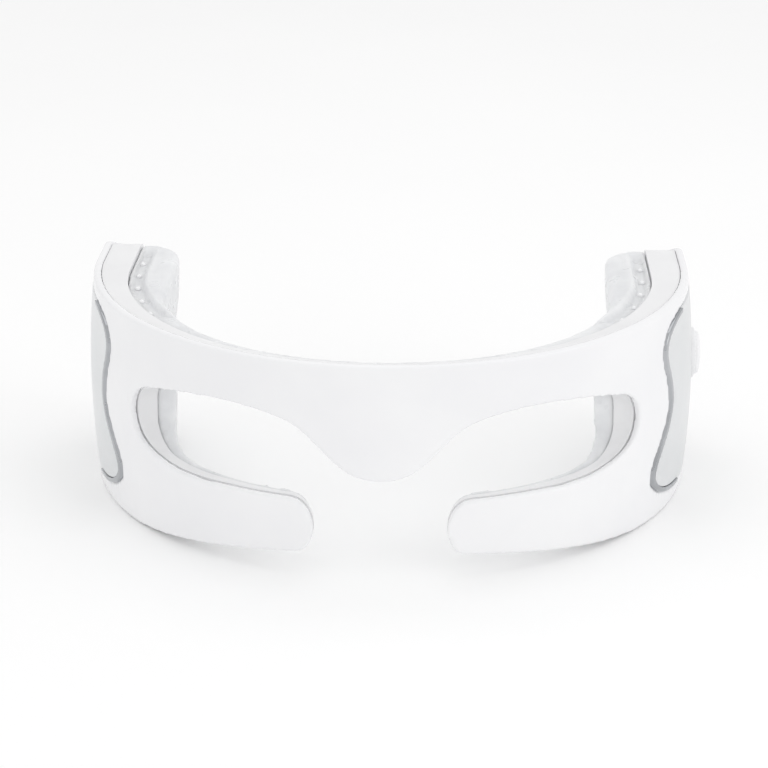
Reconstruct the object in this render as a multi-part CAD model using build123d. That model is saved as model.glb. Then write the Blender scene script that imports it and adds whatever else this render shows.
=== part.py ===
from build123d import *
import math
import os

# See-through eye massager mask: a wrap-round shell with open eyes and thick temple arms.
#
# Millimetres. X runs across the mask (+X is the wearer's left), Y runs from the brow back
# along the temples, Z is up. The origin is the middle of the footprint, on the surface
# that the arms stand on.

# ---------------------------------------------------------------- driving dimensions
HEIGHT = 70.5            # foot of the arms to the top rim
DEPTH = 105.0            # brow front to the rear ends of the arms
HALF_WIDTH = 95.0        # half width over the top rim
BOW = 83.0               # depth of the half ellipse that the front follows
SIDE_BULGE = 3.4         # how far the side walls stand out below the rim
BULGE_DROP = 45.0        # how far below the rim they stand out most
SHELL_WALL = 2.5
LAYER_GAP = 0.1          # between one moulding and the next inside it

# seam between the rigid inner frame and the soft liner, at the rim and at the foot
SEAM_TOP = dict(half_width=83.0, front=4.0, bow=71.0)
SEAM_FOOT = dict(half_width=83.0, front=3.7, bow=64.0)
# the face side of the liner, at the rim and at the foot
FACE_TOP = dict(half_width=69.0, front=7.4, bow=53.0)
FACE_FOOT = dict(half_width=73.5, front=5.2, bow=51.0)

FRAME_DROP = 0.8         # the inner frame sits this far inside the shell's edges
LINER_DROP = 1.3         # and the liner this far
LINER_REAR = DEPTH - 5.0  # liner's rear ends, from the brow front
LINER_REAR_CORNER = 11.0
REAR_CORNER = 8.0        # outer corner of an arm, seen from above
REAR_TOP_CORNER = 9.0    # corners of an arm's rear end, seen from the side
REAR_FOOT_CORNER = 18.0
FOOT_START = 42.0        # where the flat foot begins, from the brow front
FRONT_RISE = 9.9         # how far the underside rises from the foot to the front

# eye openings, in heights above the foot
NOSE_HEIGHT = 33.2       # lowest point of the nose peak
BROW_HEIGHT = 54.2       # highest point of the openings
BROW_REACH = 44.0        # where that is, across
EYE_REACH = 79.0         # outer ends of the openings
EYE_END_HEIGHT = 40.2
CHEEK_HEIGHT = 26.1      # upper edge of the cheek arms
TIP_REACH = 19.8         # where the cheek arms end, beside the nose
TIP_LENGTH = 6.8         # length and half height of their rounded ends
TIP_HALF_HEIGHT = 9.3
JAMB_DEPTH = 35.0        # how far back the openings are cut
JAMB_ROUND = 7.0

# side panels and their trim
PANEL_DEPTH = 1.5        # thickness of the panels, and depth of their recess
PANEL_GAP = 0.1
TRIM_WIDTH = 1.5
TRIM_PROUD = 0.4
TRIM_END = 58.0          # how far back the trim runs
PANEL_REAR = DEPTH - 10.0
PANEL_TOP = HEIGHT - 4.5
PANEL_FOOT = 5.0

# power button, on the wearer's left
BUTTON_DEPTH = 84.0
BUTTON_HEIGHT = 39.3
BUTTON_D = 14.2
BUTTON_PROUD = 2.6       # how far its face stands out of the wall
BUTTON_TRAVEL = 0.7
BUTTON_WALL = 1.3
COLLAR_WALL = 1.0
COLLAR_PROUD = 0.9
BUTTON_CLEAR = 0.2
STEM_D = 3.6

# pockets, board, battery
FLOOR = 2.4              # frame wall between the pockets and the liner
POCKET_FRONT = 50.0
POCKET_REAR = DEPTH - 5.0
POCKET_FOOT = 6.5
POCKET_TOP = HEIGHT - 6.5
BOARD_GAP = 0.5          # between the pockets' floor and what stands in them
BOARD_T = 1.0
BOARD_FRONT = 60.0
BOARD_REAR = DEPTH - 7.5
BOARD_FOOT = 15.0
BOARD_TOP = HEIGHT - 14.5
BATTERY_T = 5.0
BATTERY_FRONT = 64.0
BATTERY_TOP = BOARD_TOP - 4.5
BATTERY_BOARD_WIDTH = 4.0
SWITCH_SIZE = 6.0
SWITCH_T = 3.4
SOCKET_HEIGHT = 28.0     # middle of the charging socket
SOCKET_WIDTH = 8.94
SOCKET_T = 3.26
SOCKET_LENGTH = 7.3
SOCKET_WALL = 0.35
SCREW_D = 2.0
SCREW_HEAD_D = 3.6
SCREW_HEAD_T = 1.2
BOSS_D = 5.0
SCREW_BITE = 4.0         # how far a screw reaches into its boss
SCREW_PLACES = [(72.0, 9.8), (72.0, HEIGHT - 10.0), (92.0, 10.8), (92.0, HEIGHT - 10.0)]
CABLE_HEIGHT = HEIGHT - 9.0
CABLE_WIDTH = 6.0
CABLE_T = 0.3

# pads
PAD_SKIN = 2.2           # silicone over the pad's core
PAD_FRONT = 48.0
PAD_REAR = DEPTH - 16.0
PAD_FOOT = 14.0
PAD_TOP = HEIGHT - 13.5
FILM_T = 0.3
FILM_MARGIN = 1.5        # the film ends this far short of its pad's hollow
MOTOR_D = 6.0
MOTOR_LENGTH = 11.0
WEIGHT_LENGTH = 4.0
SHAFT_D = 1.0
MOTOR_FOOT = 28.0
SPIN_CLEAR = 0.5

FRONT = -DEPTH / 2
TOO_FAR = 200.0          # reach of tools that cut right through


def back(depth):
    """Y of a place this far behind the brow's front."""
    return FRONT + depth


def bulge(height):
    """How far a side wall stands out beyond the rim at this height."""
    drop = HEIGHT - height
    return SIDE_BULGE * (1 - ((drop - BULGE_DROP) / BULGE_DROP) ** 2)


def bow_plan(half_width, front, bow, rear, corner=0.0):
    """Plan outline: half an ellipse in front, straight arms to the rear."""
    middle = back(front + bow)
    end = back(rear)
    arc = EllipticalCenterArc((0, middle), half_width, bow, 180, arc_size=180)
    arms = Polyline((half_width, middle), (half_width, end), (-half_width, end), (-half_width, middle))
    face = make_face([arc, *arms.edges()])
    if corner:
        face = fillet(face.vertices().sort_by(Axis.Y)[-2:], corner)
    return face


def wall_block(inset):
    """Everything inside the outer wall, this far in from its surface."""
    levels = [HEIGHT * step / 4 for step in range(5)]
    plans = [
        Pos(0, 0, level) * bow_plan(HALF_WIDTH + bulge(level) - inset, inset, BOW - inset,
                                    DEPTH - inset, REAR_CORNER - inset)
        for level in levels
    ]
    return loft(plans)


def wall_reach(depth, height):
    """How far across the outer wall stands at this depth and height."""
    forward = max(0.0, BOW - depth) / BOW
    return (HALF_WIDTH + bulge(height)) * math.sqrt(1 - forward ** 2)


def curtain(top, foot, grow=0.0, rear=DEPTH * 1.3):
    """Everything behind an upright curtain that leans from one plan to another."""
    plans = []
    for level, plan in ((0, foot), (HEIGHT, top)):
        plans.append(Pos(0, 0, level) * bow_plan(plan["half_width"] + grow, plan["front"] - grow,
                                                 plan["bow"] + grow, rear))
    return loft(plans)


def side_slab(inset):
    """Everything between the mask's top edge and its underside, seen from the side."""
    radius = (FOOT_START ** 2 + FRONT_RISE ** 2) / (2 * FRONT_RISE)
    half_run = FOOT_START / 2
    half_rise = radius - math.sqrt(radius ** 2 - half_run ** 2)
    nose = (back(0), FRONT_RISE)
    foot = (back(FOOT_START), 0)
    underside = ThreePointArc(nose, (back(half_run), half_rise), foot)
    outline = Polyline(foot, (back(DEPTH), 0), (back(DEPTH), HEIGHT), (back(-DEPTH), HEIGHT),
                       (back(-DEPTH), FRONT_RISE), nose)
    face = make_face([underside, *outline.edges()])
    corners = face.vertices().filter_by(lambda v: abs(v.Y - HEIGHT) < 1e-6 and v.X > 0)
    face = fillet(corners, REAR_TOP_CORNER)
    corners = face.vertices().filter_by(lambda v: abs(v.Y) < 1e-6 and abs(v.X - back(DEPTH)) < 1e-6)
    face = fillet(corners, REAR_FOOT_CORNER)
    if inset:
        face = offset(face, -inset, kind=Kind.INTERSECTION)
    return extrude(Plane.YZ * face, TOO_FAR, both=True)


def eye_tool():
    """The space of both eyes and the nose, cut from the front back to the jambs."""
    end = ThreePointArc((EYE_REACH - 6.0, EYE_END_HEIGHT + 9.0), (EYE_REACH, EYE_END_HEIGHT),
                        (EYE_REACH - 5.0, EYE_END_HEIGHT - 9.0))
    brow = Spline((0, NOSE_HEIGHT), (8.4, NOSE_HEIGHT + 2.0), (17.0, NOSE_HEIGHT + 9.4),
                  (25.0, BROW_HEIGHT - 4.3), (33.0, BROW_HEIGHT - 1.4), (BROW_REACH, BROW_HEIGHT),
                  (60.0, BROW_HEIGHT - 1.2), end @ 0, tangents=[(1, 0), end % 0], tangent_scalars=[1, 1])
    cheek_start = (TIP_REACH + TIP_LENGTH, CHEEK_HEIGHT)
    cheek = Spline(end @ 1, (64.0, CHEEK_HEIGHT + 0.8), (50.0, CHEEK_HEIGHT - 0.1), cheek_start,
                   tangents=[end % 1, (-1, 0)])
    tip_middle = CHEEK_HEIGHT - TIP_HALF_HEIGHT
    tip = EllipticalCenterArc((TIP_REACH + TIP_LENGTH, tip_middle), TIP_LENGTH, TIP_HALF_HEIGHT, 90,
                              arc_size=180)
    down = Polyline(tip @ 1, (TIP_REACH + TIP_LENGTH, -HEIGHT / 2), (0, -HEIGHT / 2), (0, NOSE_HEIGHT))
    half = make_face([brow, end, cheek, tip, *down.edges()])
    tool = extrude(Plane.XZ.offset(-back(JAMB_DEPTH)) * half, JAMB_DEPTH * 1.5)
    deep_face = tool.faces().sort_by(Axis.Y)[-1]
    jamb = deep_face.edges().filter_by(lambda e: e.geom_type in (GeomType.BSPLINE, GeomType.CIRCLE))
    tool = fillet(jamb, JAMB_ROUND)
    return tool + mirror(tool, Plane.YZ)


def side_box(front, rear, foot, top, side=1, inner=0.0):
    """A box round one arm, given by its depths and heights."""
    box = Box(TOO_FAR - inner, rear - front, top - foot,
              align=(Align.MIN, Align.MIN, Align.MIN))
    box = Pos(inner, back(front), foot) * box
    return box if side > 0 else mirror(box, Plane.YZ)


def across(radius, start, end, depth, height):
    """A cylinder along X on the wearer's left."""
    return Pos(start, back(depth), height) * Rot(0, 90, 0) * Cylinder(
        radius, end - start, align=(Align.CENTER, Align.CENTER, Align.MIN))


def refit(face):
    """The same face with each curve that an offset left drawn again as a plain spline."""
    edges = []
    for edge in face.face().outer_wire().edges():
        if edge.geom_type in (GeomType.LINE, GeomType.CIRCLE):
            edges.append(edge)
        else:
            places = [edge @ (step / 24) for step in range(25)]
            edges.append(Spline(*places, tangents=[edge % 0, edge % 1], tangent_scalars=[1, 1]))
    return make_face(edges)


def both_sides(piece):
    return piece + mirror(piece, Plane.YZ)


# ---------------------------------------------------------------- side panels
def panel_prism(inset):
    """The S-fronted outline of a side panel, as a prism across the wearer's left arm."""
    front = Spline((back(TRIM_END), PANEL_TOP), (back(46.5), HEIGHT - 8.2), (back(43.6), HEIGHT - 13.0),
                   (back(45.0), HEIGHT - 22.0), (back(46.6), HEIGHT - 32.0), (back(43.8), HEIGHT - 41.0),
                   (back(39.4), HEIGHT - 49.5), (back(38.4), HEIGHT - 54.5), (back(41.0), HEIGHT - 59.5),
                   (back(TRIM_END), PANEL_FOOT),
                   tangents=[(-1, -0.05), (1, -0.12)], tangent_scalars=[1, 1])
    rest = Polyline((back(TRIM_END), PANEL_FOOT), (back(PANEL_REAR), PANEL_FOOT),
                    (back(PANEL_REAR), PANEL_TOP), (back(TRIM_END), PANEL_TOP))
    face = make_face([front, *rest.edges()])
    rear_corners = face.vertices().sort_by(Axis.X)[-2:]
    face = fillet(rear_corners, REAR_CORNER)
    if inset:
        face = refit(offset(face, -inset, kind=Kind.ARC))
    return extrude(Plane.YZ * face, TOO_FAR)


# ---------------------------------------------------------------- shared solids
outer = wall_block(0)
shell_inside = wall_block(SHELL_WALL)
frame_outside = wall_block(SHELL_WALL + LAYER_GAP)
seam_curtain = curtain(SEAM_TOP, SEAM_FOOT)
eyes = eye_tool()
button_axis = (BUTTON_DEPTH, BUTTON_HEIGHT)
wall_at_button = wall_reach(*button_axis)
button_face = wall_at_button + BUTTON_PROUD
board_x = max(SEAM_TOP["half_width"], SEAM_FOOT["half_width"]) + FLOOR + BOARD_GAP


def front_shell():
    """Outer moulding, with panel recesses, screw bosses, button hole and socket slot."""
    shell = (outer - shell_inside - seam_curtain) & side_slab(0)
    shell -= eyes
    recess = (outer - wall_block(PANEL_DEPTH)) & panel_prism(0)
    shell -= both_sides(recess)
    boss_root = wall_block(PANEL_DEPTH + (SHELL_WALL - PANEL_DEPTH) / 2)
    frame_floor = curtain(SEAM_TOP, SEAM_FOOT, FLOOR + LAYER_GAP)
    for depth, height in SCREW_PLACES:
        boss = (across(BOSS_D / 2, 0, TOO_FAR / 2, depth, height) & boss_root) - frame_floor
        shell += both_sides(boss)
    for depth, height in SCREW_PLACES:
        shell -= both_sides(across(SCREW_D / 2, 0, screw_seat() + SCREW_BITE, depth, height))
    shell -= across(collar_radius() + LAYER_GAP, board_x, TOO_FAR / 2, *button_axis)
    shell -= socket_slot(SOCKET_WALL * 2)
    return shell


def pocket(side):
    """Room for the parts held in one arm, open towards the shell."""
    room = side_box(POCKET_FRONT, POCKET_REAR, POCKET_FOOT, POCKET_TOP, side)
    return room - curtain(SEAM_TOP, SEAM_FOOT, FLOOR)


def inner_frame():
    """Rigid inner moulding between the shell and the liner."""
    frame = (frame_outside - seam_curtain) & side_slab(FRAME_DROP)
    frame -= eyes
    for side in (1, -1):
        frame -= pocket(side)
    channel = side_box(-DEPTH, POCKET_FRONT + 5, CABLE_HEIGHT - CABLE_WIDTH / 2 - LAYER_GAP,
                       CABLE_HEIGHT + CABLE_WIDTH / 2 + LAYER_GAP)
    frame -= both_sides(channel) - wall_block(SHELL_WALL + CABLE_T + LAYER_GAP * 3)
    for depth, height in SCREW_PLACES:
        frame -= both_sides(across(SCREW_D / 2 + LAYER_GAP, 0, TOO_FAR / 2, depth, height))
        head_end = screw_seat() + SCREW_HEAD_T
        frame -= both_sides(across(SCREW_HEAD_D / 2 + LAYER_GAP, 0, head_end, depth, height))
    frame -= socket_slot(LAYER_GAP)
    return frame


def face_liner():
    """Soft skin against the face, hollow at each temple round the pad's core."""
    rear = back(LINER_REAR)
    skin = curtain(SEAM_TOP, SEAM_FOOT, -LAYER_GAP, LINER_REAR)
    skin -= curtain(FACE_TOP, FACE_FOOT)
    corners = skin.edges().filter_by(
        lambda e: abs(e.center().Y - rear) < 0.01 and abs(e.center().Z - HEIGHT / 2) < 1.0)
    inner = corners.filter_by(lambda e: abs(e.center().X) < SEAM_TOP["half_width"] - 5)
    skin = fillet(inner, LINER_REAR_CORNER)
    skin = (skin & side_slab(LINER_DROP)) - eyes
    for side in (1, -1):
        room = side_box(PAD_FRONT, PAD_REAR, PAD_FOOT, PAD_TOP, side)
        skin -= room - curtain(FACE_TOP, FACE_FOOT, PAD_SKIN)
    return skin


# ---------------------------------------------------------------- temple pads
def pad_room(side, gap):
    """The hollow of one pad, less a gap all round."""
    room = side_box(PAD_FRONT + gap, PAD_REAR - gap, PAD_FOOT + gap, PAD_TOP - gap, side)
    return room & curtain(SEAM_TOP, SEAM_FOOT, -gap)


def motor_piece(radius, length, start):
    """A cylinder on the motor's upright axis, starting at this height."""
    x, depth = motor_place()
    return Pos(x, back(depth), start) * Cylinder(
        radius, length, align=(Align.CENTER, Align.CENTER, Align.MIN))


def motor_place():
    """Across and depth of a motor's axis: the middle of the pad's core."""
    return (FACE_TOP["half_width"] + SEAM_TOP["half_width"]) / 2 + 1.5, (PAD_FRONT + PAD_REAR) / 2 + 4


def pad_core():
    """Foam core with a bore for the motor and a wider one for its spinning weight."""
    core = pad_room(1, LAYER_GAP * 2) - curtain(FACE_TOP, FACE_FOOT, PAD_SKIN + FILM_T + LAYER_GAP * 3)
    core -= motor_piece(MOTOR_D / 2 + LAYER_GAP, MOTOR_LENGTH + LAYER_GAP * 2, MOTOR_FOOT - LAYER_GAP)
    core -= motor_piece(MOTOR_D / 2 + SPIN_CLEAR, WEIGHT_LENGTH + SPIN_CLEAR * 3,
                        MOTOR_FOOT + MOTOR_LENGTH)
    return core


def heating_film():
    """Thin film that lies under the pad's skin, on the face side of the core."""
    film = pad_room(1, FILM_MARGIN) & curtain(FACE_TOP, FACE_FOOT, PAD_SKIN + FILM_T + LAYER_GAP)
    return film - curtain(FACE_TOP, FACE_FOOT, PAD_SKIN + LAYER_GAP)


def motor_can():
    can = motor_piece(MOTOR_D / 2, MOTOR_LENGTH, MOTOR_FOOT)
    return can - motor_piece(SHAFT_D / 2 + 0.05, MOTOR_LENGTH, MOTOR_FOOT + MOTOR_LENGTH / 2)


def motor_weight():
    """Shaft with its half-round weight, which spins."""
    start = MOTOR_FOOT + MOTOR_LENGTH + SPIN_CLEAR
    weight = motor_piece(MOTOR_D / 2 - 0.2, WEIGHT_LENGTH, start)
    x, depth = motor_place()
    weight -= Pos(x, back(depth) + SHAFT_D * 0.6, start) * Box(
        MOTOR_D * 2, MOTOR_D, WEIGHT_LENGTH * 3, align=(Align.CENTER, Align.MIN, Align.CENTER))
    shaft_foot = MOTOR_FOOT + MOTOR_LENGTH / 2 + LAYER_GAP
    return weight + motor_piece(SHAFT_D / 2, start + WEIGHT_LENGTH - shaft_foot, shaft_foot)


# ---------------------------------------------------------------- panels and trim
def panel_block(inset, face_inset=0.0):
    """What lies inside the panel's outline and inside the outer wall, less these insets."""
    return wall_block(face_inset) & panel_prism(inset)


def trim_zone(gap):
    """The strip of the recess that the trim fills, as a prism."""
    front = panel_prism(-1) & side_box(0, TRIM_END + gap, -HEIGHT, HEIGHT * 2)
    return front - panel_prism(PANEL_GAP + TRIM_WIDTH + gap)


def side_panel():
    """Satin cover let into the arm behind the trim strip."""
    plate = panel_block(PANEL_GAP) - wall_block(PANEL_DEPTH - LAYER_GAP)
    return plate - trim_zone(PANEL_GAP)


def trim_strip():
    """Bright strip that stands a little proud along the panel's front edge."""
    strip = panel_block(PANEL_GAP, -TRIM_PROUD) - wall_block(PANEL_DEPTH - LAYER_GAP)
    return strip & trim_zone(0)


# ---------------------------------------------------------------- power button
def collar_radius():
    return BUTTON_D / 2 + BUTTON_CLEAR + COLLAR_WALL


def button_floor():
    """Where the collar's floor lies, across."""
    return wall_at_button - SHELL_WALL - 1.6


def button_collar():
    foot = button_floor() - 1.4
    ring = across(collar_radius(), foot, wall_at_button + COLLAR_PROUD, *button_axis)
    ring -= across(BUTTON_D / 2 + BUTTON_CLEAR, button_floor(), TOO_FAR / 2, *button_axis)
    return ring - across(STEM_D / 2 + BUTTON_CLEAR, 0, TOO_FAR / 2, *button_axis)


def power_button():
    """Hollow cap with a stem that reaches the switch."""
    foot = button_face - 4.4
    cap = across(BUTTON_D / 2, foot, button_face, *button_axis)
    cap = fillet(cap.faces().sort_by(Axis.X)[-1].edges(), 1.1)
    cap -= across(BUTTON_D / 2 - BUTTON_WALL, 0, button_face - BUTTON_WALL, *button_axis)
    return cap + across(STEM_D / 2, switch_tip(), button_face - BUTTON_WALL / 2, *button_axis)


def button_spring():
    """Small return spring between the collar's floor and the cap."""
    start = button_floor()
    length = button_face - BUTTON_WALL - start
    mean_radius = (STEM_D / 2 + BUTTON_D / 2 - BUTTON_WALL) / 2
    wire = 0.5
    turns = 3.5
    path = Helix((length - wire) / turns, length - wire, mean_radius)
    section = Plane(origin=path @ 0, z_dir=path % 0) * Circle(wire / 2)
    coil = sweep(section, path=path)
    return Pos(start + wire / 2, back(BUTTON_DEPTH), BUTTON_HEIGHT) * Rot(0, 90, 0) * coil


def switch_tip():
    """Where the switch's plunger ends and the button's stem begins, across."""
    return board_x + BOARD_T + SWITCH_T + 1.4


def switch_body():
    body = Pos(board_x + BOARD_T, back(BUTTON_DEPTH), BUTTON_HEIGHT) * Box(
        SWITCH_T, SWITCH_SIZE, SWITCH_SIZE, align=(Align.MIN, Align.CENTER, Align.CENTER))
    return body - across(SHAFT_D + 0.6, board_x + BOARD_T + 1.0, TOO_FAR / 2, *button_axis)


def switch_plunger():
    foot = board_x + BOARD_T + 1.0 + BUTTON_TRAVEL + LAYER_GAP
    return across(SHAFT_D + 0.5, foot, switch_tip(), *button_axis)


# ---------------------------------------------------------------- electronics
def main_board():
    board = side_box(BOARD_FRONT, BOARD_REAR, BOARD_FOOT, BOARD_TOP, 1)
    return board & Pos(board_x, 0, 0) * Box(BOARD_T, TOO_FAR, TOO_FAR,
                                            align=(Align.MIN, Align.CENTER, Align.CENTER))


def board_part(depth, height, wide, tall, thick):
    return Pos(board_x + BOARD_T, back(depth), height) * Box(
        thick, wide, tall, align=(Align.MIN, Align.CENTER, Align.CENTER))


def board_chips():
    """Controller, charger, driver and a row of small parts, soldered to the board."""
    chips = [board_part(67.0, 47.0, 7.0, 7.0, 1.0), board_part(67.0, 37.5, 5.0, 4.0, 1.2),
             board_part(90.0, 51.5, 4.0, 5.0, 1.2)]
    chips += [board_part(64.0 + 2.6 * n, 27.0, 1.0, 1.8, 0.7) for n in range(6)]
    return Compound(children=chips)


def buzzer():
    return across(4.0, board_x + BOARD_T, board_x + BOARD_T + 2.6, 69.0, 20.0)


def socket_block(grow, start, end):
    """Rounded block on the socket's axis, long side upright."""
    x = board_x + BOARD_T + SOCKET_T / 2
    face = SlotOverall(SOCKET_WIDTH + 2 * grow, SOCKET_T + 2 * grow)
    plane = Plane(origin=(x, back(start), SOCKET_HEIGHT), x_dir=(0, 0, 1), z_dir=(0, 1, 0))
    return extrude(plane * face, end - start)


def socket_end():
    return DEPTH - SHELL_WALL


def socket_slot(grow):
    return socket_block(grow, socket_end() - SOCKET_LENGTH - 2, DEPTH + 5)


def socket_shell():
    start = socket_end() - SOCKET_LENGTH
    block = socket_block(0, start, socket_end())
    return block - socket_block(-SOCKET_WALL, start + 1.0, socket_end() + 1)


def socket_tongue():
    start = socket_end() - SOCKET_LENGTH + 1.0
    x = board_x + BOARD_T + SOCKET_T / 2
    return Pos(x, back(start), SOCKET_HEIGHT) * Box(
        0.7, SOCKET_LENGTH - 2.0, SOCKET_WIDTH - 2.2, align=(Align.CENTER, Align.MIN, Align.CENTER))


def battery_cell():
    """Flat pouch cell in the wearer's right arm."""
    cell = side_box(BATTERY_FRONT, BOARD_REAR, BOARD_FOOT, BATTERY_TOP, 1)
    cell &= Pos(board_x - LAYER_GAP * 2, 0, 0) * Box(BATTERY_T, TOO_FAR, TOO_FAR,
                                           align=(Align.MIN, Align.CENTER, Align.CENTER))
    cell = fillet(cell.edges().filter_by(Axis.Z), BATTERY_T * 0.3)
    return mirror(cell, Plane.YZ)


def battery_board():
    foot = BATTERY_TOP + BOARD_GAP
    board = side_box(BATTERY_FRONT + 1, BOARD_REAR - 1, foot, foot + BATTERY_BOARD_WIDTH, 1)
    board &= Pos(board_x + BOARD_T, 0, 0) * Box(BOARD_T, TOO_FAR, TOO_FAR,
                                          align=(Align.MIN, Align.CENTER, Align.CENTER))
    return mirror(board, Plane.YZ)


def brow_cable():
    """Flat cable in a channel across the brow, from one pocket to the other."""
    band = wall_block(SHELL_WALL + LAYER_GAP * 2) - wall_block(SHELL_WALL + LAYER_GAP * 2 + CABLE_T)
    reach = side_box(-DEPTH, POCKET_FRONT + 4, CABLE_HEIGHT - CABLE_WIDTH / 2,
                     CABLE_HEIGHT + CABLE_WIDTH / 2)
    return band & both_sides(reach)


def screw_seat():
    """Where the screws' heads begin, across: just inside the frame's floor."""
    return SEAM_TOP["half_width"] + LAYER_GAP


def casing_screws():
    """Self-tapping screws from the face side into the shell's bosses."""
    screws = []
    for depth, height in SCREW_PLACES:
        seat = screw_seat()
        head = across(SCREW_HEAD_D / 2, seat, seat + SCREW_HEAD_T, depth, height)
        head -= across(0.6, seat - 1, seat + 0.6, depth, height)
        shank = across(SCREW_D / 2 - 0.05, seat + SCREW_HEAD_T / 2, seat + SCREW_BITE - 0.2,
                       depth, height)
        screws.append(head + shank)
    return Compound(children=[piece for screw in screws
                              for piece in (screw.solid(), mirror(screw, Plane.YZ).solid())])


# ---------------------------------------------------------------- write the sub-parts
def write(name, piece):
    export_step(piece, os.path.join("parts", name + ".step"))


def write_pair(name, piece):
    """The piece is modelled on the wearer's left."""
    write("left_" + name, piece)
    write("right_" + name, mirror(piece, Plane.YZ))


os.makedirs("parts", exist_ok=True)
write("front_shell", front_shell())
write("inner_frame", inner_frame())
write("face_liner", face_liner())
write_pair("pad_core", pad_core())
write_pair("heating_film", heating_film())
write_pair("motor_can", motor_can())
write_pair("motor_weight", motor_weight())
panel = side_panel()
write("left_side_panel", panel - across(collar_radius() + LAYER_GAP, 0, TOO_FAR / 2, *button_axis))
write("right_side_panel", mirror(panel, Plane.YZ))
write_pair("trim_strip", trim_strip())
write("button_collar", button_collar())
write("power_button", power_button())
write("button_spring", button_spring())
write("switch_body", switch_body())
write("switch_plunger", switch_plunger())
write("main_board", main_board())
write("board_chips", board_chips())
write("buzzer", buzzer())
write("socket_shell", socket_shell())
write("socket_tongue", socket_tongue())
write("battery_cell", battery_cell())
write("battery_board", battery_board())
write("brow_cable", brow_cable())
write("casing_screws", casing_screws())
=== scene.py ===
import math

import bmesh
import bpy
from mathutils import Matrix, Vector


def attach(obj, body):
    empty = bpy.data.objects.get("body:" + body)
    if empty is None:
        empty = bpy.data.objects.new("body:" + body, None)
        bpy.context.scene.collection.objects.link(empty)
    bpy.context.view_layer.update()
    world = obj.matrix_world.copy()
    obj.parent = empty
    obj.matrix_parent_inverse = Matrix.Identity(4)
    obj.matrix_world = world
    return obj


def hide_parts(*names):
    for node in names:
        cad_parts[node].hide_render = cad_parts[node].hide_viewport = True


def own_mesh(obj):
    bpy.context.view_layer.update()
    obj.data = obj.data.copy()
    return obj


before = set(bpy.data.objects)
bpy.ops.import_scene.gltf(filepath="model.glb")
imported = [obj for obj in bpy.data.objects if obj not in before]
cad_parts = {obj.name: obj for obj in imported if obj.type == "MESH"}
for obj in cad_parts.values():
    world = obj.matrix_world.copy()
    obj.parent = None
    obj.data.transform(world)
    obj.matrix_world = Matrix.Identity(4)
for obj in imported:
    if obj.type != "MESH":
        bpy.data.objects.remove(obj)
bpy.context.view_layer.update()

MM = 0.001

# ---------------------------------------------------------------- front shell
# The outer moulding: brow band, nose peak, cheek arms and temple arms in one piece. Real ones
# are injection-moulded in high-gloss white ABS, with every edge rounded in the mould.
SHELL_VOXEL = 0.65 * MM
SHELL_SMOOTHING = 6
SHELL_WHITE = "#F4F4F5"
SHELL_SHADE = "#EFEFF1"
WELD_DISTANCE = 0.004 * MM
FLAT_ANGLE = math.radians(0.6)
SHARP_ANGLE = math.radians(35)
ROUNDING_SEGMENTS = 3


def linear(hex_colour):
    """An sRGB hex colour as the linear RGBA that a shader takes."""
    channels = [int(hex_colour[i:i + 2], 16) / 255 for i in (1, 3, 5)]
    return (*[c / 12.92 if c <= 0.04045 else ((c + 0.055) / 1.055) ** 2.4 for c in channels], 1.0)


def add(tree, kind, sockets=None, **settings):
    """A new node with its settings, and its sockets set to values or linked to other nodes."""
    node = tree.nodes.new(kind)
    for name, value in settings.items():
        setattr(node, name, value)
    for name, value in (sockets or {}).items():
        if isinstance(value, bpy.types.NodeSocket):
            tree.links.new(value, node.inputs[name])
        else:
            node.inputs[name].default_value = value
    return node


def surface(name, dark, light, patch_mm, rough, grain_mm, relief_mm, **shader_values):
    """A material whose colour and roughness drift in patches, with a fine grain in relief."""
    material = bpy.data.materials.new(name)
    material.use_nodes = True
    tree = material.node_tree
    tree.nodes.clear()
    place = add(tree, "ShaderNodeTexCoord").outputs["Object"]
    patches = add(tree, "ShaderNodeTexNoise",
                  {"Vector": place, "Scale": 1 / (patch_mm * MM), "Detail": 3.0, "Roughness": 0.55})
    drift = add(tree, "ShaderNodeMapRange",
                {"Value": patches.outputs["Fac"], "From Min": 0.3, "From Max": 0.7})
    colour = add(tree, "ShaderNodeMix", {"Factor": drift.outputs["Result"]}, data_type="RGBA")
    colour.inputs[6].default_value = linear(dark)
    colour.inputs[7].default_value = linear(light)
    grain = add(tree, "ShaderNodeTexNoise",
                {"Vector": place, "Scale": 1 / (grain_mm * MM), "Detail": 2.0, "Roughness": 0.5})
    wear = add(tree, "ShaderNodeMapRange",
               {"Value": grain.outputs["Fac"], "From Min": 0.3, "From Max": 0.7,
                "To Min": rough[0], "To Max": rough[1]})
    bump = add(tree, "ShaderNodeBump", {"Height": grain.outputs["Fac"], "Distance": relief_mm * MM,
                                        "Strength": 1.0})
    shader = add(tree, "ShaderNodeBsdfPrincipled",
                 {"Base Color": colour.outputs[2], "Roughness": wear.outputs["Result"],
                  "Normal": bump.outputs["Normal"], **shader_values})
    add(tree, "ShaderNodeOutputMaterial", {"Surface": shader.outputs["BSDF"]})
    return material


def welded_copy(node, name):
    """A copy of a CAD node with its loose triangles welded, which stands for that node."""
    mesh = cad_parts[node].data.copy()
    mesh.name = name
    if "custom_normal" in mesh.attributes:
        mesh.attributes.remove(mesh.attributes["custom_normal"])
    bm = bmesh.new()
    bm.from_mesh(mesh)
    bmesh.ops.remove_doubles(bm, verts=bm.verts, dist=WELD_DISTANCE)
    bmesh.ops.dissolve_limit(bm, angle_limit=FLAT_ANGLE, verts=bm.verts[:], edges=bm.edges[:])
    bm.to_mesh(mesh)
    bm.free()
    piece = bpy.data.objects.new(name, mesh)
    bpy.context.scene.collection.objects.link(piece)
    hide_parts(node)
    return piece


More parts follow.
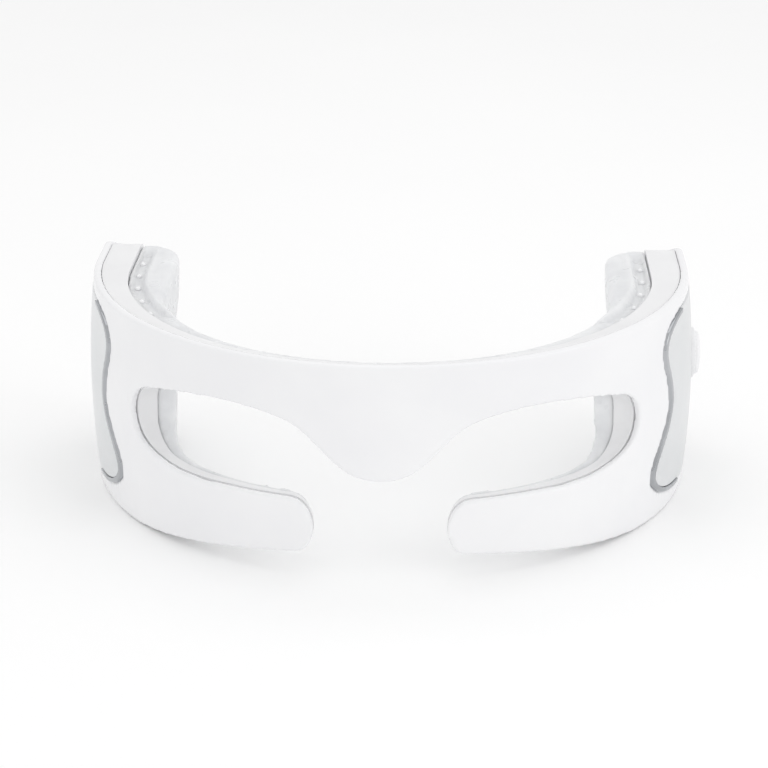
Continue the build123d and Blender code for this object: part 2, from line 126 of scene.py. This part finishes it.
def round_edges(piece, width):
    """Rounds a piece's sharp edges and shades the rest smooth."""
    piece.data.shade_smooth()
    rounding = piece.modifiers.new("rounding", "BEVEL")
    rounding.width = width
    rounding.segments = ROUNDING_SEGMENTS
    rounding.limit_method = "ANGLE"
    rounding.angle_limit = SHARP_ANGLE
    rounding.use_clamp_overlap = False
    rounding.harden_normals = True
    rounding.miter_outer = "MITER_ARC"


def paint(piece, material):
    """Gives a piece one material on all its faces."""
    slots = piece.data.materials
    if not slots:
        slots.append(material)
    for index in range(len(slots)):
        slots[index] = material


def set_solid(piece):
    """Makes a piece's modifiers part of its mesh."""
    graph = bpy.context.evaluated_depsgraph_get()
    made = bpy.data.meshes.new_from_object(piece.evaluated_get(graph))
    made.name = piece.name
    piece.modifiers.clear()
    piece.data = made


def remould(piece, voxel, smoothing):
    """Rebuilds a piece as an even mesh and softens it, which rounds its edges as a mould does."""
    voxels = piece.modifiers.new("voxels", "REMESH")
    voxels.mode = "VOXEL"
    voxels.voxel_size = voxel
    set_solid(piece)
    bm = bmesh.new()
    bm.from_mesh(piece.data)
    for _ in range(smoothing):
        bmesh.ops.smooth_vert(bm, verts=bm.verts, factor=0.5, use_axis_x=True, use_axis_y=True,
                              use_axis_z=True)
    bm.to_mesh(piece.data)
    bm.free()
    piece.data.shade_smooth()


shell = welded_copy("front_shell", "shell")
remould(shell, SHELL_VOXEL, SHELL_SMOOTHING)
# Glossy moulded ABS: white all through, with the faintest ripple where it cooled.
shell_finish = surface("glossy moulded ABS, white", SHELL_SHADE, SHELL_WHITE, 40, (0.14, 0.2), 6,
                       0.004, **{"IOR": 1.54, "Specular IOR Level": 0.5})
paint(shell, shell_finish)
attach(shell, "mask")

# ---------------------------------------------------------------- side panels
# A thin cover let into each temple behind the trim strip, snapped into its recess. Moulded in
# ABS and sprayed a satin silver, so fine flakes glitter under a soft sheen.
PANEL_ROUNDING = 0.3 * MM

# Silver lacquer over ABS: mostly metal flake, with a clear coat that softens the reflections.
# Real flakes are far finer than the 0.45 mm drawn here, which is as fine as the render shows.
silver_lacquer = surface("satin silver lacquer on ABS", "#DEE0E1", "#E5E6E7", 25, (0.34, 0.44), 0.45,
                         0.004, **{"Metallic": 0.75, "Coat Weight": 0.15, "Coat Roughness": 0.3})
for side in ("left", "right"):
    panel = welded_copy(f"{side}_side_panel", f"{side}_panel")
    round_edges(panel, PANEL_ROUNDING)
    paint(panel, silver_lacquer)
    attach(panel, "mask")

# ---------------------------------------------------------------- trim strips
# A narrow S-shaped bead pressed in along each panel's front edge. Real ones are ABS with a
# bright chrome plating, polished smooth, and stand a little proud of the wall.
TRIM_VOXEL = 0.2 * MM
TRIM_SMOOTHING = 3

# Chrome plating: mirror bright, with only a breath of haze from handling.
chrome = surface("chrome plating, polished", "#A6A8AB", "#BBBDC0", 15, (0.05, 0.1), 5, 0.001,
                 **{"Metallic": 1.0})
for side in ("left", "right"):
    trim = welded_copy(f"{side}_trim_strip", f"{side}_trim")
    remould(trim, TRIM_VOXEL, TRIM_SMOOTHING)
    paint(trim, chrome)
    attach(trim, "mask")

# ---------------------------------------------------------------- power button
# A round white cap in a collar on the wearer's left, with a return spring and a small switch
# behind it. Cap and collar are moulded ABS, polished less than the shell.
COLLAR_ROUNDING = 0.3 * MM

# Moulded ABS with a satin tool finish: white, softer in its reflections than the shell.
satin_white = surface("satin moulded ABS, white", "#F1F1F2", "#F6F6F7", 8, (0.26, 0.34), 0.6, 0.004,
                      **{"IOR": 1.54})
collar = welded_copy("button_collar", "collar")
round_edges(collar, COLLAR_ROUNDING)
paint(collar, satin_white)
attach(collar, "mask")
paint(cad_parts["power_button"], satin_white)
# Drawn spring wire: bright steel with faint drawing lines.
paint(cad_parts["button_spring"],
      surface("drawn spring steel", "#A6A8AA", "#C2C3C5", 1.5, (0.22, 0.36), 0.3, 0.004,
              **{"Metallic": 1.0}))
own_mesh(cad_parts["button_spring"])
# Glass-filled PBT housing: black and slightly rough.
paint(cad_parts["switch_body"],
      surface("moulded PBT, black", "#17181A", "#222326", 2, (0.45, 0.6), 0.3, 0.02, **{"IOR": 1.57}))
# Acetal plunger: dull red, a little waxy.
paint(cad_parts["switch_plunger"],
      surface("moulded acetal, red", "#A32A22", "#B4352B", 2, (0.3, 0.4), 0.4, 0.006, **{"IOR": 1.48}))

# ---------------------------------------------------------------- control board
# A slim circuit board stands in the wearer's left arm with the controller, charger and driver
# soldered on, a sounder below and the charging socket at its rear end.

# Solder mask over glass-epoxy: green, glossy, with the weave just showing.
solder_mask = surface("solder mask on glass-epoxy, green", "#0F5230", "#17693F", 3, (0.22, 0.34), 0.5,
                      0.02, **{"IOR": 1.52})
paint(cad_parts["main_board"], solder_mask)
paint(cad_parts["battery_board"], solder_mask)
# Moulded epoxy packages: near black and matt.
epoxy_black = surface("moulded epoxy, black", "#141416", "#1E1F22", 1.5, (0.5, 0.65), 0.25, 0.015,
                      **{"IOR": 1.55})
paint(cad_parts["board_chips"], epoxy_black)
paint(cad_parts["buzzer"], epoxy_black)
# Deep-drawn stainless shell of the socket, brushed by the tool.
paint(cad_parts["socket_shell"],
      surface("drawn stainless steel", "#B4B5B7", "#C9CACB", 2, (0.2, 0.32), 0.3, 0.006,
              **{"Metallic": 1.0}))
# Liquid-crystal polymer tongue: black, dull.
paint(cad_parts["socket_tongue"],
      surface("moulded polymer, black", "#1A1A1C", "#26272A", 1, (0.4, 0.55), 0.2, 0.01, **{"IOR": 1.6}))

# ---------------------------------------------------------------- battery and brow cable
# A flat pouch cell fills the wearer's right arm; a flat cable in a channel across the brow
# joins it to the board. The pouch is aluminium laminate, the cable coated polyester.

# Aluminium laminate pouch: silver-grey, softly creased.
paint(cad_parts["battery_cell"],
      surface("aluminium laminate pouch", "#A9ACB0", "#BDBFC3", 6, (0.3, 0.45), 3, 0.15,
              **{"Metallic": 0.8}))
# Polyester flat cable: white and slightly glossy.
paint(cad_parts["brow_cable"],
      surface("coated polyester ribbon, white", "#DDE0E4", "#ECEEF0", 4, (0.25, 0.35), 0.5, 0.01,
              **{"IOR": 1.6}))

# ---------------------------------------------------------------- temple pads
# Under the liner's skin each temple has a foam core with a heating film on its face side and
# a small motor whose half-round weight shakes it. All of it is laid in from behind.

# Open-cell polyurethane foam: cream, full of tiny pores.
foam = surface("polyurethane foam, cream", "#DCD3BC", "#F0E9D8", 1.2, (0.88, 0.96), 0.5, 0.2,
               **{"IOR": 1.5})
# Polyimide heating film: clear amber over dark tracks.
film = surface("polyimide film, amber", "#8A4A14", "#C9812E", 1.6, (0.2, 0.3), 0.6, 0.01,
               **{"IOR": 1.7})
# Deep-drawn steel can, nickel plated.
nickelled = surface("nickel-plated drawn steel", "#B3B1AC", "#C9C7C2", 3, (0.18, 0.3), 0.3, 0.004,
                    **{"Metallic": 1.0})
# Sintered tungsten weight: dark grey and grainy.
sintered = surface("sintered tungsten", "#5F6063", "#77787B", 1, (0.45, 0.6), 0.2, 0.02,
                   **{"Metallic": 1.0})
for side in ("left", "right"):
    paint(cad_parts[f"{side}_pad_core"], foam)
    paint(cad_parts[f"{side}_heating_film"], film)
    paint(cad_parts[f"{side}_motor_can"], nickelled)
    paint(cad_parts[f"{side}_motor_weight"], sintered)

# ---------------------------------------------------------------- inner frame and screws
# The light grey moulding behind the shell carries everything and closes the arms' tops. It is
# ABS with a fine satin texture, slightly milky, held by eight small screws from the face side.

# Textured ABS: light grey with slow milky drifts where the wall is thin.
milky_grey = surface("satin moulded ABS, light grey", "#E8E8E9", "#EFEFF0", 28, (0.28, 0.33), 5,
                     0.001, **{"IOR": 1.54, "Subsurface Weight": 0.25, "Subsurface Scale": 0.0015,
                               "Subsurface Radius": (1.0, 1.0, 1.0)})
paint(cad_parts["inner_frame"], milky_grey)
# Zinc-plated screw steel: pale, faintly blue.
paint(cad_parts["casing_screws"],
      surface("zinc-plated steel", "#AEB3B8", "#C3C8CC", 1.2, (0.28, 0.4), 0.25, 0.008,
              **{"Metallic": 1.0}))

# ---------------------------------------------------------------- silicone liner
# The soft skin that lies on the face, with a thick rounded pad at each temple. It is moulded
# in milky translucent silicone, stretched over the frame and tucked in along the seam.
LINER_VOXEL = 0.9 * MM
LINER_SMOOTHING = 5
SEAM_HALF_WIDTH = 83.0 * MM
SEAM_MIDDLE = 22.5 * MM
SEAM_BOW = 71.0 * MM
LINER_TOP = 69.2 * MM
GROOVE_SEAM_SIDE = 0.9 * MM
GROOVE_PAD_SIDE = 5.6 * MM
GROOVE_LIP = 0.9 * MM
GROOVE_DEPTH = 1.5 * MM
GROOVE_FRONT = -17.0 * MM
GROOVE_REAR = 38.0 * MM
GROOVE_FADE = 6.0 * MM
RIDGE_HEIGHT = 0.35 * MM
PAD_FRONT = -5.0 * MM
PAD_SOFT_FROM = 36.0 * MM
PAD_SOFTENING = 14
PAD_THICKNESS = 13.0 * MM
PAD_CROWN = 58.0 * MM
PAD_WAIST = 42.0 * MM
PAD_RETREAT = 1.0 * MM
TOP_BAND = 3.0 * MM
BROW_HALF_WIDTH = 40 * MM
FACING_UP = 0.5


def smooth_step(low, high, value):
    """A share that rises smoothly from 0 at low to 1 at high."""
    share = min(1.0, max(0.0, (value - low) / (high - low)))
    return share * share * (3 - 2 * share)


def from_seam(x, y):
    """How far inside the seam a place on the liner's top lies."""
    if y > SEAM_MIDDLE:
        return SEAM_HALF_WIDTH - abs(x)
    across, along = x / SEAM_HALF_WIDTH, (y - SEAM_MIDDLE) / SEAM_BOW
    reach = math.hypot(across, along)
    steepness = math.hypot(across / SEAM_HALF_WIDTH, along / SEAM_BOW) / reach
    return (1 - reach) / steepness


liner = welded_copy("face_liner", "liner")
remould(liner, LINER_VOXEL, LINER_SMOOTHING)
bm = bmesh.new()
bm.from_mesh(liner.data)
bm.normal_update()
pad_edges = [vert for vert in bm.verts
             if vert.co.y > PAD_FRONT and vert.co.z > PAD_SOFT_FROM
             and from_seam(vert.co.x, vert.co.y) > GROOVE_PAD_SIDE]
for _ in range(PAD_SOFTENING):
    bmesh.ops.smooth_vert(bm, verts=pad_edges, factor=0.5, use_axis_x=True, use_axis_y=True,
                          use_axis_z=True)
for vert in pad_edges:
    retreat = ((1 - smooth_step(PAD_WAIST, PAD_CROWN, vert.co.z))
               * smooth_step(GROOVE_PAD_SIDE, PAD_THICKNESS, from_seam(vert.co.x, vert.co.y)))
    vert.co.x += math.copysign(PAD_RETREAT * retreat, vert.co.x)
bm.normal_update()
for vert in bm.verts:
    x, y, z = vert.co
    if vert.normal.z < FACING_UP or z < LINER_TOP - TOP_BAND or abs(x) < BROW_HALF_WIDTH:
        continue
    inside = from_seam(x, y)
    along = (smooth_step(GROOVE_FRONT, GROOVE_FRONT + GROOVE_FADE, y)
             * (1 - smooth_step(GROOVE_REAR, GROOVE_REAR + GROOVE_FADE, y)))
    dip = (smooth_step(GROOVE_SEAM_SIDE, GROOVE_SEAM_SIDE + GROOVE_LIP, inside)
           * (1 - smooth_step(GROOVE_PAD_SIDE - GROOVE_LIP, GROOVE_PAD_SIDE, inside)))
    ridge = math.exp(-((inside - GROOVE_PAD_SIDE - GROOVE_LIP) / GROOVE_LIP) ** 2)
    vert.co.z += along * (RIDGE_HEIGHT * ridge - GROOVE_DEPTH * dip)
bm.to_mesh(liner.data)
bm.free()
liner.data.shade_smooth()
# Milky silicone: light goes in and comes out again softened, with slow drifts in thickness.
silicone = surface("moulded silicone, milky translucent", "#DDDEE0", "#EAEBEC", 9, (0.26, 0.36), 4,
                   0.004, **{"IOR": 1.41, "Subsurface Weight": 0.7, "Subsurface Scale": 0.004,
                            "Subsurface Radius": (1.0, 1.0, 1.0), "Transmission Weight": 0.0})
paint(liner, silicone)
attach(liner, "mask")

# ---------------------------------------------------------------- locating nubs
# A row of small silicone nubs stands in the groove on each arm, where the skin is buttoned
# through the frame. They are part of the liner's moulding, clearer than the rest.
NUB_RADIUS = 0.95 * MM
NUB_PLACES = [(80.3, 31.0), (80.0, 20.5), (78.6, 10.0), (75.8, -0.5), (71.6, -10.5)]

# Clear silicone: bright and wet-looking.
clear_silicone = surface("moulded silicone, clear", "#F0F1F3", "#FAFAFB", 3, (0.12, 0.2), 1.0, 0.002,
                         **{"IOR": 1.41, "Subsurface Weight": 0.5, "Subsurface Scale": 0.001,
                            "Subsurface Radius": (1.0, 1.0, 1.0)})
for side, sign in (("left", 1), ("right", -1)):
    mesh = bpy.data.meshes.new(f"{side}_nubs")
    bm = bmesh.new()
    for across, along in NUB_PLACES:
        nub = bmesh.ops.create_uvsphere(bm, u_segments=16, v_segments=10, radius=NUB_RADIUS)["verts"]
        bmesh.ops.translate(bm, verts=nub,
                            vec=(sign * across * MM, along * MM, LINER_TOP - GROOVE_DEPTH))
    bm.to_mesh(mesh)
    bm.free()
    mesh.shade_smooth()
    nubs = bpy.data.objects.new(f"{side}_nubs", mesh)
    bpy.context.scene.collection.objects.link(nubs)
    paint(nubs, clear_silicone)
    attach(nubs, "mask")

# ---------------------------------------------------------------- floor, light and view
# A white studio table and wide soft boxes, as for a catalogue picture.
FLOOR_HALF_WIDTH = 6.0
SKY_STRENGTH = 0.9
LAMP_AIM = (0.0, 0.0, 0.03)
VIEW_FROM = (0.0223, -0.5344, 0.2891)
VIEW_AIM = (-0.0012, 0.0075, 0.0373)
VIEW_ROLL = math.radians(-0.2)
VIEW_LENS = 88.0
FILM_WIDTH = 36.0
floor_mesh = bpy.data.meshes.new("table_top")
bm = bmesh.new()
bmesh.ops.create_grid(bm, x_segments=1, y_segments=1, size=FLOOR_HALF_WIDTH)
bm.to_mesh(floor_mesh)
bm.free()
floor = bpy.data.objects.new("table_top", floor_mesh)
bpy.context.scene.collection.objects.link(floor)
floor.data.materials.append(
    surface("matt white paper", "#FDFDFD", "#FFFFFF", 300, (0.8, 0.9), 4, 0.01, **{"IOR": 1.4}))

scene = bpy.context.scene
scene.view_settings.view_transform = "Standard"
world = bpy.data.worlds.new("studio")
world.use_nodes = True
world.node_tree.nodes["Background"].inputs["Color"].default_value = (1, 1, 1, 1)
world.node_tree.nodes["Background"].inputs["Strength"].default_value = SKY_STRENGTH
scene.world = world


def soft_box(name, place, width, height, power):
    """A wide lamp that faces the object."""
    lamp = bpy.data.lights.new(name, "AREA")
    lamp.shape = "RECTANGLE"
    lamp.size = width
    lamp.size_y = height
    lamp.energy = power
    stand = bpy.data.objects.new(name, lamp)
    stand.location = place
    stand.rotation_euler = (Vector(LAMP_AIM) - Vector(place)).to_track_quat("-Z", "Y").to_euler()
    scene.collection.objects.link(stand)


soft_box("overhead_box", (0.0, 0.05, 0.75), 0.7, 0.6, 0.55)
soft_box("left_box", (-0.7, -0.45, 0.45), 0.5, 0.5, 0.05)
soft_box("right_box", (0.75, -0.5, 0.5), 0.5, 0.5, 0.9)

lens = bpy.data.cameras.new("view")
lens.lens = VIEW_LENS
lens.sensor_width = FILM_WIDTH
lens.clip_start = 0.05
lens.clip_end = 20.0
view = bpy.data.objects.new("view", lens)
view.location = VIEW_FROM
turn = (Vector(VIEW_AIM) - Vector(VIEW_FROM)).to_track_quat("-Z", "Y").to_matrix()
view.rotation_euler = (turn @ Matrix.Rotation(VIEW_ROLL, 3, "Z")).to_euler()
scene.collection.objects.link(view)
scene.camera = view
